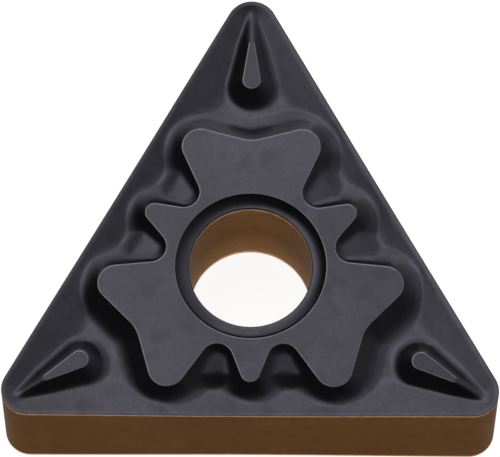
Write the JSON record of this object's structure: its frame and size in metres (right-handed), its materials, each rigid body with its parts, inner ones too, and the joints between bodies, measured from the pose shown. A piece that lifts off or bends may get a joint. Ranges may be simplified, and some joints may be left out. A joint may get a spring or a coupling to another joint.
{
  "type": "indexable turning insert",
  "caption": "Double-sided triangular turning insert with a round clamping bore and a sculpted chip groove with corner ridges on both faces.",
  "frame": {"origin": "on the bore's axis, halfway between the two seat faces", "axes": "+Z along the bore's axis, out of a seat face; +Y towards one cutting corner"},
  "size_m": [0.0154, 0.0135, 0.005],
  "materials": {
    "coated_carbide": "cemented carbide with a vapour-deposited coating, dark grey on both faces and bronze on the sides and in the bore"
  },
  "bodies": {
    "root": {"insert": "coated_carbide"}
  },
  "joints": []
}
